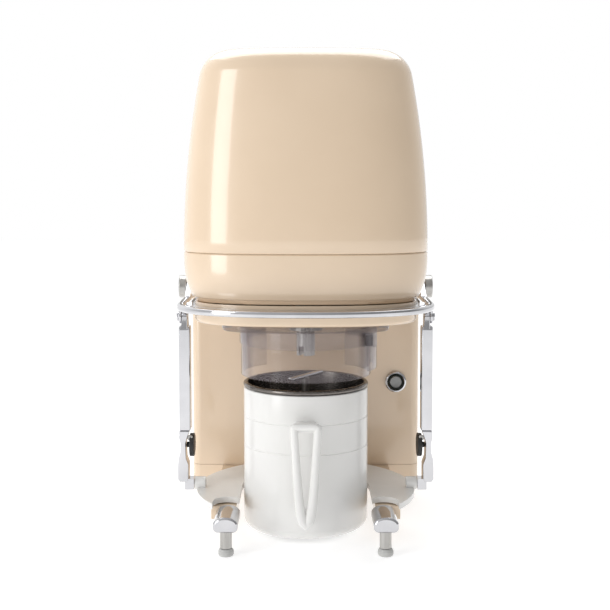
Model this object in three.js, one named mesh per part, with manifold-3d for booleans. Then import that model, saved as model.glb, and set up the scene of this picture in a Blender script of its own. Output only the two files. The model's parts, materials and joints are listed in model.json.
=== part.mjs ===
// Countertop ice cream maker: a lever raises a tray with a mug until the mug's beater meets the drive.
// Millimetres, +Z up, -Y is the front. The origin is on the counter, under the middle of the outer box.
import * as THREE from 'three';
import { mergeVertices } from 'three/addons/utils/BufferGeometryUtils.js';
import Module from 'manifold-3d';

const wasm = await Module();
wasm.setup();

// ---- Driving dimensions. Y is measured from the vertical axis of the mug and the drive. ----
const GAP = 0.3;                 // clearance between pieces that touch
const MUG_AXIS_Y = -63;          // the mug axis seen from the middle of the outer box
const TOP_Z = 512;
const SEAM_Z = 302;              // joint between head cover and head base
const HEAD_BOTTOM_Z = 250.6;
const CHIN_BOTTOM_Z = 228.4;
const CHIN_HALF_WIDTH = 117;
const CHIN_FRONT_Y = -78;
const HEAD_HALF_WIDTH = 128.5;   // widest, at the seam
const HEAD_FRONT_Y = -80;
const HEAD_BACK_Y = 226;
const WAIST_Y = -10;             // where the head's front curve starts
const HEAD_TOP_ROUND = 26;
const FRONT_SQUARENESS = 2.4;    // exponents of the outlines: 2 is an ellipse, more is squarer
const BACK_SQUARENESS = 5;
const COLUMN_HALF_WIDTH = 134;
const COLUMN_FRONT_Y = 118;
const BASE_TOP_Z = 40;
const BASE_BOTTOM_Z = 12;
const MUG_RADIUS = 66.5;
const MUG_BOTTOM_Z = 7;
const MUG_RIM_Z = 162;
const TRAY_RADIUS = 117;
const TRAY_Z = [40.5, 46.5];
const TRAY_OPENING = 69;         // radius of the tray's round seat for the mug
const STUD_Z = 50.5;             // tray studs that the links lift
const STUD_Y = -1.6;
const BAR_Z = [241, 247.5];      // handle bar, bottom and top
const ARM_X = [129.2, 135.7];    // handle arm, inner and outer face
const BAR_FRONT_Y = -104;
const BAR_DEPTH = 16;            // front to back of the bar's middle
const PIVOT = { y: 90, z: 255 }; // handle hinge
const HUB_RADIUS = 13.5;
const LINK_PIN_Z = 231;          // joint between handle and link, on the mug axis
const LINK_PIN_RADIUS = 3;
const LINK_X = [123.6, 135.5];   // link bar, inner and outer face
const LINK_NECK_X = [126.4, 132.4];
const LINK_BAR_Z = [108.5, 221];
const LINK_FOOT_BOTTOM_Z = 53;
const THROUGH_X = [-150, 150];   // cuts that go right through from side to side
const TOE_WIDTH = 25;
const TOE_Y = [-99.5, -52.3];
const TOE_Z = [26, 41.5];
const FOOT_X = 80.2;
const GUARD_RADIUS = 69.6;       // the raised mug goes up inside it
const GUARD_WALL = 2.2;
const GUARD_SKIRT_RADIUS = 76.5;
const GUARD_BOTTOM_Z = 170.5;
const GUARD_FLANGE_Z = [222.4, 227.9];
const GUARD_FLANGE_HALF = 86;
const GUARD_BAND_Z = 204;        // lower edge of the guard's thicker band
const BOSS = { x: 66, y: -36 };  // magnet boss on the guard
const BUTTON = { x: 106.3, z: 139.4 };
const BEATER_TURN = THREE.MathUtils.degToRad(58);  // the cross bar's direction from +X
const CROSS_BAR_Z = 166.5;
const GEAR_MODULE = 2.5;
const GEAR_TEETH = 36;
const PINION_TEETH = 12;
const SHAFT_DISTANCE = GEAR_MODULE * (GEAR_TEETH + PINION_TEETH) / 2;
const GEAR_Z = [306, 316];

// ---- Materials ----
const finish = (color, roughness, metalness, extra = {}) =>
  new THREE.MeshStandardMaterial({ color, roughness, metalness, ...extra });
const cream = finish('#e3cda9', 0.22, 0);
const white = finish('#ecebe7', 0.25, 0);
const chrome = finish('#d5d6d8', 0.08, 1);
const steel = finish('#a9a8a5', 0.3, 1);
const darkSteel = finish('#55524f', 0.35, 1);
const brass = finish('#b08d48', 0.35, 1);
const black = finish('#1c1b1a', 0.5, 0);
const greyPad = finish('#c4c4c1', 0.6, 0);
const clear = finish('#a99aa0', 0.1, 0, { transparent: true, opacity: 0.35 });
const nylon = finish('#e4e1d6', 0.5, 0);
const board = finish('#2f6b3c', 0.55, 0);

// ---- Solids ----
function signedVolume(positions, indices) {
  const [a, b, c] = [new THREE.Vector3(), new THREE.Vector3(), new THREE.Vector3()];
  let volume = 0;
  for (let i = 0; i < indices.length; i += 3) {
    a.fromArray(positions, indices[i] * 3);
    b.fromArray(positions, indices[i + 1] * 3);
    c.fromArray(positions, indices[i + 2] * 3);
    volume += a.dot(b.cross(c)) / 6;
  }
  return volume;
}

function toSolid(geometry) {
  const bare = geometry.clone();
  bare.deleteAttribute('normal');
  bare.deleteAttribute('uv');
  const merged = mergeVertices(bare, 1e-4);
  const positions = Float32Array.from(merged.attributes.position.array);
  const indices = [];
  for (let i = 0; i < merged.index.count; i += 3) {
    const [a, b, c] = [0, 1, 2].map((k) => merged.index.getX(i + k));
    if (a !== b && b !== c && c !== a) indices.push(a, b, c);
  }
  if (signedVolume(positions, indices) < 0) indices.reverse();
  const mesh = new wasm.Mesh({ numProp: 3, vertProperties: positions, triVerts: Uint32Array.from(indices) });
  return new wasm.Manifold(mesh);
}

function toGeometry(solid) {
  const mesh = solid.getMesh();
  const geometry = new THREE.BufferGeometry();
  geometry.setAttribute('position', new THREE.BufferAttribute(Float32Array.from(mesh.vertProperties), 3));
  geometry.setIndex(new THREE.BufferAttribute(Uint32Array.from(mesh.triVerts), 1));
  return geometry;
}

const join = (...pieces) => toGeometry(pieces.map(toSolid).reduce((all, piece) => all.add(piece)));
const cut = (body, ...tools) =>
  toGeometry(tools.map(toSolid).reduce((rest, tool) => rest.subtract(tool), toSolid(body)));
const common = (a, b) => toGeometry(toSolid(a).intersect(toSolid(b)));

// The same X range on the right (side 1) or the left (side -1).
const mirrorX = (side, low, high) => (side > 0 ? [low, high] : [-high, -low]);

const block = (x, y, z) => new THREE.BoxGeometry(x[1] - x[0], y[1] - y[0], z[1] - z[0])
  .translate((x[0] + x[1]) / 2, (y[0] + y[1]) / 2, (z[0] + z[1]) / 2);

// Cylinders along each axis, from one end to the other.
const rodZ = (r, z, x = 0, y = 0, sides = 20) => new THREE.CylinderGeometry(r, r, z[1] - z[0], sides)
  .rotateX(Math.PI / 2).translate(x, y, (z[0] + z[1]) / 2);
const rodX = (r, x, y, z, sides = 20) => new THREE.CylinderGeometry(r, r, x[1] - x[0], sides)
  .rotateZ(Math.PI / 2).translate((x[0] + x[1]) / 2, y, z);
const rodY = (r, y, x, z, sides = 20) => new THREE.CylinderGeometry(r, r, y[1] - y[0], sides)
  .translate(x, (y[0] + y[1]) / 2, z);

// A profile of [radius, z] points turned about Z.
const turned = (profile, sides = 36) =>
  new THREE.LatheGeometry(profile.map(([r, z]) => new THREE.Vector2(r, z)), sides).rotateX(Math.PI / 2);

// A flat outline of [x, y] points raised along Z, with an optional bevel.
function plate(points, z, bevel = 0) {
  const shape = new THREE.Shape(points.map(([x, y]) => new THREE.Vector2(x, y)));
  const options = { depth: z[1] - z[0] - 2 * bevel, bevelEnabled: bevel > 0, steps: 1 };
  Object.assign(options, { bevelThickness: bevel, bevelSize: bevel, bevelOffset: -bevel, bevelSegments: 2 });
  return new THREE.ExtrudeGeometry(shape, options).translate(0, 0, z[0] + bevel);
}

// An outline of [y, z] points raised along X, and an outline of [x, z] points raised along Y.
const sidePlate = (points, x, bevel = 0) => plate(points, x, bevel).rotateX(Math.PI / 2).rotateZ(Math.PI / 2);
const frontPlate = (points, y, bevel = 0) => plate(points, [-y[1], -y[0]], bevel).rotateX(Math.PI / 2);

// A closed skin through rings of equal point count, with flat ends.
function loft(rings) {
  const count = rings[0].length;
  const positions = rings.flat(2);
  const indices = [];
  for (let ring = 0; ring < rings.length - 1; ring += 1) {
    for (let i = 0; i < count; i += 1) {
      const next = (i + 1) % count;
      const [a, b] = [ring * count + i, ring * count + next];
      indices.push(a, b, b + count, a, b + count, a + count);
    }
  }
  const last = (rings.length - 1) * count;
  for (let i = 1; i < count - 1; i += 1) {
    indices.push(0, i + 1, i, last, last + i, last + i + 1);
  }
  const geometry = new THREE.BufferGeometry();
  geometry.setAttribute('position', new THREE.Float32BufferAttribute(positions, 3));
  geometry.setIndex(indices);
  return geometry;
}

const power = (value, exponent) => Math.sign(value) * Math.abs(value) ** exponent;

// A curve that bulges to frontY at x = 0 and runs straight back at x = +-halfWidth.
function frontCurve(halfWidth, frontY, waistY = WAIST_Y, steps = 20) {
  const points = [];
  for (let i = 0; i <= steps; i += 1) {
    const angle = Math.PI * (1 + i / steps);
    const x = halfWidth * power(Math.cos(angle), 2 / FRONT_SQUARENESS);
    points.push([x, waistY + (waistY - frontY) * power(Math.sin(angle), 2 / FRONT_SQUARENESS)]);
  }
  return points;
}

// The head's outline at one height: a bulging front and a squarer back.
function headRing(z, inset = 0) {
  const above = Math.max(0, (z - SEAM_Z) / (TOP_Z - SEAM_Z));
  const below = Math.max(0, (SEAM_Z - z) / (SEAM_Z - HEAD_BOTTOM_Z));
  const halfWidth = HEAD_HALF_WIDTH - 22.5 * above ** 2 - 11.8 * below ** 3 - inset;
  const frontY = HEAD_FRONT_Y + 20 * above ** 2 + 6 * below ** 3 + inset;
  const backY = HEAD_BACK_Y - 18 * above ** 2 - 6 * below ** 3 - inset;
  const front = frontCurve(halfWidth, frontY);
  const back = [];
  for (let i = 1; i < 16; i += 1) {
    const angle = Math.PI * i / 16;
    const x = halfWidth * power(Math.cos(angle), 2 / BACK_SQUARENESS);
    back.push([x, WAIST_Y + (backY - WAIST_Y) * power(Math.sin(angle), 2 / BACK_SQUARENESS)]);
  }
  return [...front, ...back].map(([x, y]) => [x, y, z]);
}

// ---- Head and column ----
function headRings(bottomZ, wall) {
  const straight = TOP_Z - HEAD_TOP_ROUND - bottomZ;
  const rings = [0, 0.33, 0.67, 1].map((t) => headRing(bottomZ + t * straight, wall));
  const round = HEAD_TOP_ROUND - wall;
  for (let i = 1; i <= 4; i += 1) {
    const angle = Math.PI / 2 * i / 4;
    const z = TOP_Z - HEAD_TOP_ROUND + round * Math.sin(angle);
    rings.push(headRing(z, wall + round * (1 - Math.cos(angle))));
  }
  return rings;
}

const headCover = () => cut(loft(headRings(SEAM_Z + GAP, 0)), loft(headRings(SEAM_Z - 5, 3)));

function headBase() {
  const heights = [0, 0.1, 0.101, 0.3, 0.55, 0.8, 1];
  const level = (t) => HEAD_BOTTOM_Z + t * (SEAM_Z - HEAD_BOTTOM_Z);
  const outside = heights.map((t, i) => headRing(level(t), i < 2 ? 1.5 : 0));
  const inside = [0.06, 0.4, 1.2].map((t) => headRing(level(t), 4.5));
  return cut(
    loft(outside),
    loft(inside),
    rodZ(18.3, [240, 260]),
    rodX(4 + GAP, [-140, 140], PIVOT.y, PIVOT.z, 16),
  );
}

function chinOutline(inset) {
  const half = CHIN_HALF_WIDTH - inset;
  const rear = COLUMN_FRONT_Y - GAP;
  return [...frontCurve(half, CHIN_FRONT_Y + inset), [half, rear], [-half, rear]];
}

function chinPlate() {
  const levels = [[0, 5], [1.5, 1.5], [5, 0], [HEAD_BOTTOM_Z - GAP - CHIN_BOTTOM_Z, 0]];
  const skin = loft(levels.map(([up, inset]) => chinOutline(inset).map(([x, y]) => [x, y, CHIN_BOTTOM_Z + up])));
  return cut(skin, plate(chinOutline(4), [CHIN_BOTTOM_Z + 4, 260]), rodZ(18.3, [220, 240]));
}

// A plate that fills the space between the chin and the resting handle bar.
function chinTrim() {
  const z = [BAR_Z[0] + GAP, BAR_Z[1] - GAP];
  const crescentRear = -12;
  const outer = frontCurve(126.5, -86.6, crescentRear);
  const inner = frontCurve(CHIN_HALF_WIDTH + GAP, CHIN_FRONT_Y - GAP, crescentRear).reverse();
  const strips = [-1, 1].map((side) => {
    const x = mirrorX(side, CHIN_HALF_WIDTH + GAP, LINK_X[0] - 0.8);
    return block(x, [crescentRear - 1, 74], z);
  });
  return join(plate([...outer, ...inner], z), ...strips);
}

const REAR_WALL_Y = [200, 240];  // cuts through the back of the column
const ROCKER_HOLE = block([16, 36], REAR_WALL_Y, [64, 86]);

// Corners 0.5 turn apart are rounded with one radius in front and another at the back.
function roundedRect(x, y, frontRadius, backRadius, steps = 5) {
  const points = [];
  const corners = [
    [x[0] + frontRadius, y[0] + frontRadius, frontRadius, 1],
    [x[1] - frontRadius, y[0] + frontRadius, frontRadius, 1.5],
    [x[1] - backRadius, y[1] - backRadius, backRadius, 0],
    [x[0] + backRadius, y[1] - backRadius, backRadius, 0.5],
  ];
  for (const [cx, cy, r, start] of corners) {
    for (let i = 0; i <= steps; i += 1) {
      const angle = Math.PI * (start + 0.5 * i / steps);
      points.push([cx + r * Math.cos(angle), cy + r * Math.sin(angle)]);
    }
  }
  return points;
}

// The column's outline, drawn in by a wall thickness.
function columnOutline(inset) {
  const half = COLUMN_HALF_WIDTH - inset;
  return roundedRect([-half, half], [COLUMN_FRONT_Y + inset, HEAD_BACK_Y - inset], 10 - inset, 30 - inset);
}

function columnShell() {
  return cut(
    plate(columnOutline(0), [BASE_TOP_Z + GAP, HEAD_BOTTOM_Z - GAP]),
    plate(columnOutline(3), [BASE_TOP_Z - 5, HEAD_BOTTOM_Z - 4]),
    rodY(10.2, [100, 140], BUTTON.x, BUTTON.z),
    block([-44, -8], REAR_WALL_Y, [60, 90]),
    ROCKER_HOLE,
    block([-90, 90], REAR_WALL_Y, [110, 220]),
  );
}

// A louvred panel over the service opening.
function rearCover() {
  const panel = block([-105, 105], [HEAD_BACK_Y + GAP, HEAD_BACK_Y + 4], [52, 238]);
  const slots = [];
  for (let row = 0; row < 9; row += 1) {
    const z = 118 + row * 11;
    slots.push(block([-75, 75], REAR_WALL_Y, [z, z + 4.5]));
  }
  return cut(panel, block([-43.7, -8.3], REAR_WALL_Y, [60.3, 89.7]), ROCKER_HOLE, ...slots);
}

function baseFrame() {
  const rear = plate(columnOutline(0), [BASE_BOTTOM_Z, BASE_TOP_Z]);
  const pocket = block([-118, 118], [COLUMN_FRONT_Y + 12, HEAD_BACK_Y - 34], [0, BASE_TOP_Z - 6]);
  const arms = [-1, 1].map((side) => {
    return block(mirrorX(side, 72, 98), [-52, COLUMN_FRONT_Y + 4], [BASE_TOP_Z - 14, BASE_TOP_Z - 0.5]);
  });
  return cut(join(rear, ...arms), pocket);
}

// A toe: a round-backed cap on the end of a base arm.
function toe(side) {
  const half = TOE_WIDTH / 2;
  const outline = [[-half, TOE_Z[0] + 3], [-half + 3, TOE_Z[0]], [half - 3, TOE_Z[0]], [half, TOE_Z[0] + 3]];
  const arch = 7.5;
  for (let i = 0; i <= 12; i += 1) {
    const angle = Math.PI * i / 12;
    outline.push([half * Math.cos(angle), TOE_Z[1] - arch + arch * Math.sin(angle)]);
  }
  return frontPlate(outline.map(([x, z]) => [x + side * FOOT_X, z]), TOE_Y, 2);
}

// ---- Handle, links and tray ----
function handleBar() {
  const rearY = PIVOT.y - 2;
  const edge = (x, frontY) => [[-x, rearY], ...frontCurve(x, frontY), [x, rearY]];
  const bar = plate([...edge(ARM_X[1], BAR_FRONT_Y), ...edge(ARM_X[0], BAR_FRONT_Y + BAR_DEPTH).reverse()], BAR_Z);
  const pieces = [bar];
  const holes = [];
  for (const side of [-1, 1]) {
    const arm = mirrorX(side, ARM_X[0], ARM_X[1]);
    const ear = mirrorX(side, 132.7, ARM_X[1]);
    pieces.push(rodX(HUB_RADIUS, arm, PIVOT.y, PIVOT.z, 28));
    pieces.push(sidePlate([[40, 243], [90, 243], [84, 264], [70, 252], [55, 247]], arm));
    pieces.push(rodX(7.5, ear, 0, LINK_PIN_Z, 20));
    pieces.push(block(ear, [-7.5, 7.5], [LINK_PIN_Z, 243]));
    holes.push(rodX(4 + GAP, [arm[0] - 1, arm[1] + 1], PIVOT.y, PIVOT.z, 20));
    holes.push(rodX(3 + GAP, [ear[0] - 1, ear[1] + 1], 0, LINK_PIN_Z, 16));
  }
  return cut(join(...pieces), ...holes);
}

const pivotPin = (side) => join(
  rodX(4, mirrorX(side, 114, 137), PIVOT.y, PIVOT.z, 20),
  rodX(HUB_RADIUS - 0.5, mirrorX(side, 136, 145), PIVOT.y, PIVOT.z, 28),
);

const linkPin = (side) => join(
  rodX(3, mirrorX(side, 128.8, 137), 0, LINK_PIN_Z, 16),
  rodX(5, mirrorX(side, 136, 138), 0, LINK_PIN_Z, 16),
);

// A flat bar with a thinner neck that hangs inside the handle's ear.
function linkBar(side) {
  const neckX = mirrorX(side, LINK_NECK_X[0], LINK_NECK_X[1]);
  const neck = sidePlate([[-7.5, 218], [7.5, 218], [7.5, LINK_PIN_Z], [-7.5, LINK_PIN_Z]], neckX);
  const eye = rodX(7.5, neckX, 0, LINK_PIN_Z, 20);
  const [bottom, top] = LINK_BAR_Z;
  const outline = [[-8, bottom], [8, bottom], [8, top - 4], [6, top], [-6, top], [-8, top - 4]];
  const bar = sidePlate(outline, mirrorX(side, LINK_X[0], LINK_X[1]), 1);
  return cut(join(neck, eye, bar), rodX(LINK_PIN_RADIUS + GAP, THROUGH_X, 0, LINK_PIN_Z, 16));
}

// Waisted round the spacer disc, with a block below it and a slotted eye for the tray stud.
function linkFoot(side) {
  const top = LINK_BAR_Z[0] - GAP;
  const bottom = LINK_FOOT_BOTTOM_Z;
  const outerEdge = [[LINK_X[1], top], [136, 101], [134.4, 95], [134.6, 85], [136.6, 78], [137.3, 70], [137.3, 56]];
  const innerEdge = [[125.8, 57], [125.8, 72], [128.4, 79], [128.8, 95], [127.2, 101], [LINK_X[0] + 1, top]];
  const right = [...outerEdge, [135, bottom], [127.5, bottom], ...innerEdge];
  const body = frontPlate(right.map(([x, z]) => [side * x, z]), [-9, 9], 1);
  const eye = block(mirrorX(side, 120, 129.8), [-8.5, 5.5], [44.7, 56.5]);
  const slotEnds = [-1.9, 1.7];
  const slotRadius = 2.8;
  const slot = join(
    block(THROUGH_X, slotEnds, [STUD_Z - slotRadius, STUD_Z + slotRadius]),
    ...slotEnds.map((y) => rodX(slotRadius, THROUGH_X, y, STUD_Z, 16)),
  );
  return cut(join(body, eye), slot);
}

const linkSpacer = (side) => join(
  rodX(12.5, mirrorX(side, 119.8, 124.8), 0, 92, 28),
  rodX(3, mirrorX(side, 124, 128.5), 0, 92, 16),
);

function trayPlate() {
  const disc = rodZ(TRAY_RADIUS, TRAY_Z, 0, 0, 56);
  const bosses = [-1, 1].map((side) => rodX(7, mirrorX(side, 108, 119.4), STUD_Y, STUD_Z, 20));
  const studHoles = [-1, 1].map((side) => rodX(2.4 + GAP, mirrorX(side, 104, 121), STUD_Y, STUD_Z, 12));
  const notches = [-1, 1].map((side) => join(
    block(mirrorX(side, 60, 95.5), [-130, -56], [30, 60]),
    rodZ(14.5, [30, 60], side * 81, -56, 20),
  ));
  const slot = block([-TRAY_OPENING, TRAY_OPENING], [-130, 0], [30, 60]);
  const railGap = block([-12.5, 12.5], [109.6, 130], [30, 60]);
  const opening = rodZ(TRAY_OPENING, [30, 60], 0, 0, 40);
  return cut(join(disc, ...bosses), opening, slot, railGap, ...notches, ...studHoles);
}

const trayStud = (side) => rodX(2.4, mirrorX(side, 108.5, 129.6), STUD_Y, STUD_Z, 16);

// A floor under the mug, hung from the back of the tray.
const mugCradle = () => join(
  rodZ(48, [3.4, MUG_BOTTOM_Z - GAP], 0, 0, 36),
  block([-22, 22], [30, 82], [3.4, MUG_BOTTOM_Z - GAP]),
  block([-22, 22], [78, 82], [3.4, TRAY_Z[0] - GAP]),
);

// The carriage grips a flat rail on the front of the column.
function trayCarriage() {
  const body = block([-24, 24], [96, 117.4], [TRAY_Z[1] + GAP, 76]);
  return cut(body, block([-12.5, 12.5], [109.6, 120], [40, 80]));
}
const liftRail = () => block([-12, 12], [110, COLUMN_FRONT_Y - GAP], [48, 150]);

// ---- Mug and beater ----
function mugShell() {
  const r = MUG_RADIUS;
  const z = MUG_BOTTOM_Z;
  const outside = [[0, z], [r - 10, z], [r - 5, z + 1.4], [r - 1.4, z + 5], [r, z + 10]];
  const inside = [[r, 156.7], [r - 3, 156.7], [r - 3, z + 9], [r - 8, z + 3], [0, z + 3]];
  return turned([...outside, ...inside], 36);
}

function mugLiner() {
  const r = MUG_RADIUS - 3 - GAP;
  const floor = MUG_BOTTOM_Z + 3 + GAP;
  const rim = r + 3.7;
  const outside = [[0, floor], [r - 6, floor], [r, floor + 7], [r, 157], [rim, 157], [rim, MUG_RIM_Z]];
  const inside = [[r - 1, MUG_RIM_Z], [r - 1, floor + 8], [r - 6.5, floor + 1.2], [0, floor + 1.2]];
  return turned([...outside, ...inside], 36);
}

// A V of two ribs that stands off the front of the mug, hollow in the middle.
function mugHandle() {
  const right = [[16, 134], [15, 100], [13, 60], [10, 38], [6, 29], [0, 25]];
  const outer = [...right, ...right.slice(0, -1).reverse().map(([x, z]) => [-x, z])];
  const inner = [[-9, 125], [9, 125], [2.2, 42], [0, 39], [-2.2, 42]];
  const grip = cut(frontPlate(outer, [-92, -84], 1.2), frontPlate(inner, [-100, -80]));
  const upper = block([-12, 12], [-86, -62], [125.5, 133]);
  const lower = block([-4, 4], [-86, -62], [28, 38]);
  return cut(join(grip, upper, lower), rodZ(MUG_RADIUS + GAP, [0, 160], 0, 0, 60));
}

function beaterFrame() {
  const stem = rodZ(4, [12.5, CROSS_BAR_Z - 1], 0, 0, 16);
  const foot = block([-50, 50], [-3, 3], [16, 22]);
  const top = block([-50, 50], [-3, 3], [112, 118]);
  const sides = [-1, 1].map((side) => block(mirrorX(side, 46, 51), [-3, 3], [16, 118]));
  return join(stem, foot, top, ...sides).rotateZ(BEATER_TURN);
}
const scraper = (side) => block(mirrorX(side, 51.3, 57.5), [-1.5, 1.5], [18, 116]).rotateZ(BEATER_TURN);
const crossBar = () => cut(
  rodX(2.5, [-31.5, 31.5], 0, CROSS_BAR_Z + 0.2, 16),
  rodZ(4 + GAP, [150, CROSS_BAR_Z - 1 + GAP], 0, 0, 16),
).rotateZ(BEATER_TURN);

// ---- Guard ----
function ringWall(outer, inner, z) {
  return cut(rodZ(outer, z, 0, 0, 40), rodZ(inner, [z[0] - 1, z[1] + 1], 0, 0, 40));
}

// A clear cup without a bottom: a flange in two rails, a ring wall, a side skirt and a magnet boss.
// The wall and the flange are open at the back, so that the guard draws off past the shaft.
function guardShield() {
  const wallTop = GUARD_FLANGE_Z[0] + 1;
  const front = frontCurve(GUARD_FLANGE_HALF, -76, -40, 16);
  const flange = plate([...front, [GUARD_FLANGE_HALF, 40], [-GUARD_FLANGE_HALF, 40]], GUARD_FLANGE_Z);
  const pane = ringWall(GUARD_RADIUS, GUARD_RADIUS - GUARD_WALL, [GUARD_BOTTOM_Z, wallTop]);
  const band = ringWall(GUARD_RADIUS + 1.4, GUARD_RADIUS - 1, [GUARD_BAND_Z, wallTop]);
  const skirt = ringWall(GUARD_SKIRT_RADIUS, GUARD_SKIRT_RADIUS - GUARD_WALL, [178, wallTop]);
  const skirtSector = block([45, 90], [-40, 35], [170, 230]);
  const boss = rodZ(8, [GUARD_BAND_Z, wallTop], BOSS.x, BOSS.y, 20);
  const backGap = block([-45, 45], [10, 90], [160, 240]);
  const walls = cut(join(pane, band, common(skirt, skirtSector), boss), backGap);
  const shaftSlot = join(block([-22, 22], [0, 90], [200, 240]), rodZ(22, [200, 240]));
  const magnetHole = rodZ(4.5, [GUARD_BAND_Z - 4, 216], BOSS.x, BOSS.y, 16);
  return cut(join(cut(flange, shaftSlot), walls), magnetHole);
}
const guardMagnet = () => rodZ(4.2, [GUARD_BAND_Z + 0.5, 215.7], BOSS.x, BOSS.y, 16);

function guardRail(side) {
  const outer = GUARD_FLANGE_HALF + 3;
  const groove = GUARD_FLANGE_HALF + 0.4;
  const top = GUARD_FLANGE_Z[1] + 0.2;
  const ledge = GUARD_FLANGE_Z[0] - GAP;
  const inner = GUARD_SKIRT_RADIUS + 1.5;
  const bottom = ledge - 2.5;
  const profile = [[inner, bottom], [outer, bottom], [outer, top], [groove, top], [groove, ledge], [inner, ledge]];
  return frontPlate(profile.map(([x, z]) => [side * x, z]), [-8, 45]);
}

// ---- Drive ----
function spurGear(teeth, bore, z, turn) {
  const pitch = GEAR_MODULE * teeth / 2;
  const [tip, root] = [pitch + 0.75 * GEAR_MODULE, pitch - 1.1 * GEAR_MODULE];
  const step = 2 * Math.PI / teeth;
  const points = [];
  for (let i = 0; i < teeth; i += 1) {
    for (const [offset, radius] of [[-0.29, root], [-0.09, tip], [0.09, tip], [0.29, root]]) {
      const angle = turn + (i + offset) * step;
      points.push([radius * Math.cos(angle), radius * Math.sin(angle)]);
    }
  }
  return cut(plate(points, z), rodZ(bore, [z[0] - 1, z[1] + 1], 0, 0, 20));
}

const driveGear = () => spurGear(GEAR_TEETH, 6.2, GEAR_Z, Math.PI / 2);
// The pinion's teeth are cut on the motor's own shaft.
const motorPinion = () => join(
  spurGear(PINION_TEETH, 3, GEAR_Z, -Math.PI / 2 + Math.PI / PINION_TEETH),
  rodZ(4, [304, 444], 0, 0, 16),
).translate(0, SHAFT_DISTANCE, 0);
const driveShaft = () => rodZ(6, [203, 336]);
function driveDog() {
  const body = rodZ(10, [189.5, 214]);
  const mouth = block([-20, 20], [-3.2, 3.2], [180, 199.6]);
  const stemHole = rodZ(4.6, [180, 199.6]);
  return cut(body, mouth, stemHole, rodZ(6 + GAP, [202.7, 220])).rotateZ(BEATER_TURN);
}
const ringZ = (outer, inner, z) => cut(rodZ(outer, z), rodZ(inner, [z[0] - 1, z[1] + 1]));
const bearingHousing = () => join(ringZ(18, 13.3, [217, 262]), ringZ(26, 17, [255.5, 262]));
const lowerBearing = () => ringZ(13, 6.3, [228, 240]);
const shaftSeal = () => ringZ(13, 6.3, [219, 225]);
const upperBearing = () => ringZ(13, 6.3, [320.3, 330]);
function chassisPlate() {
  const deck = plate(roundedRect([-100, 100], [-35, 190], 20, 20), [292, 295]);
  const bridge = join(
    block([-60, 60], [-25, 90], [320, 324]),
    block([-60, -56], [-25, 20], [293, 321]),
    block([56, 60], [-25, 20], [293, 321]),
  );
  return cut(join(deck, bridge), rodZ(13.3, [290, 330]), rodZ(12, [290, 330], 0, SHAFT_DISTANCE));
}
function motorCan() {
  const profile = [[0, 324.3], [36, 324.3], [38, 327], [38, 420], [34, 424], [0, 424]];
  return cut(turned(profile).translate(0, SHAFT_DISTANCE, 0), rodZ(5, [300, 430], 0, SHAFT_DISTANCE, 16));
}
function coolingFan() {
  const blades = [];
  for (let i = 0; i < 6; i += 1) {
    blades.push(block([7, 34], [-1, 1], [430, 440]).rotateZ(i * Math.PI / 3));
  }
  const fan = cut(join(rodZ(9, [429, 441]), ...blades), rodZ(4.2, [420, 450], 0, 0, 16));
  return fan.translate(0, SHAFT_DISTANCE, 0);
}

// ---- Controls ----
const collar = (r, hole, y) =>
  cut(rodY(r, y, BUTTON.x, BUTTON.z, 28), rodY(hole, [90, 150], BUTTON.x, BUTTON.z));
const buttonBezel = () => join(collar(12.5, 9.7, [113, COLUMN_FRONT_Y - GAP]), collar(9.9, 9.4, [114, 140]));
const buttonRing = () => collar(9.1, 7.5, [113.6, 138]);
const buttonCap = () => rodY(7.2, [113.2, 130], BUTTON.x, BUTTON.z, 28);
const controlBoard = () => block([-70, 70], [205, 207], [315, 405]);
function powerInlet() {
  const body = join(block([-40, -12], [205, 227], [63, 87]), block([-42, -10], [225.5, 229.6], [61.5, 88.5]));
  return cut(body, block([-36, -16], [212, 240], [68, 82]));
}
const rockerKey = () => rodX(7, [18.8, 33.2], 222, 75, 24);

// ---- Assembly ----
const assembly = new THREE.Group();
assembly.position.y = MUG_AXIS_Y;

function add(name, geometry, material) {
  const mesh = new THREE.Mesh(toGeometry(toSolid(geometry)), material);
  mesh.name = name;
  assembly.add(mesh);
}

add('head_cover', headCover(), cream);
add('head_base', headBase(), cream);
add('chin_plate', chinPlate(), cream);
add('chin_trim', chinTrim(), chrome);
add('column_shell', columnShell(), cream);
add('rear_cover', rearCover(), cream);
add('base_frame', baseFrame(), cream);
add('lift_rail', liftRail(), steel);
for (const [label, side] of [['left', -1], ['right', 1]]) {
  add(`${label}_toe`, toe(side), chrome);
  add(`${label}_toe_post`, rodZ(6, [7.8, 25.7], side * FOOT_X, -88, 20), steel);
  add(`${label}_front_pad`, turned([[0, 0], [7, 0], [8, 2], [8, 5], [6.5, 7.5], [0, 7.5]], 24)
    .translate(side * FOOT_X, -88, 0), greyPad);
  add(`${label}_rear_foot`, turned([[0, 0], [13, 0], [14, 2], [14, 11.7], [0, 11.7]], 24)
    .translate(side * 100, 209, 0), black);
  add(`${label}_pivot_pin`, pivotPin(side), steel);
  add(`${label}_guard_rail`, guardRail(side), steel);
  add(`${label}_link_pin`, linkPin(side), chrome);
  add(`${label}_link_bar`, linkBar(side), chrome);
  add(`${label}_link_foot`, linkFoot(side), chrome);
  add(`${label}_link_spacer`, linkSpacer(side), black);
  add(`${label}_tray_stud`, trayStud(side), steel);
  add(`${label}_scraper`, scraper(side), nylon);
}
add('handle_bar', handleBar(), chrome);
add('tray_plate', trayPlate(), white);
add('mug_cradle', mugCradle(), steel);
add('tray_carriage', trayCarriage(), black);
add('mug_shell', mugShell(), white);
add('mug_liner', mugLiner(), darkSteel);
add('mug_handle', mugHandle(), white);
add('beater_frame', beaterFrame(), steel);
add('beater_cross_bar', crossBar(), chrome);
add('guard_shield', guardShield(), clear);
add('guard_magnet', guardMagnet(), darkSteel);
add('bearing_housing', bearingHousing(), steel);
add('lower_bearing', lowerBearing(), steel);
add('upper_bearing', upperBearing(), steel);
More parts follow.
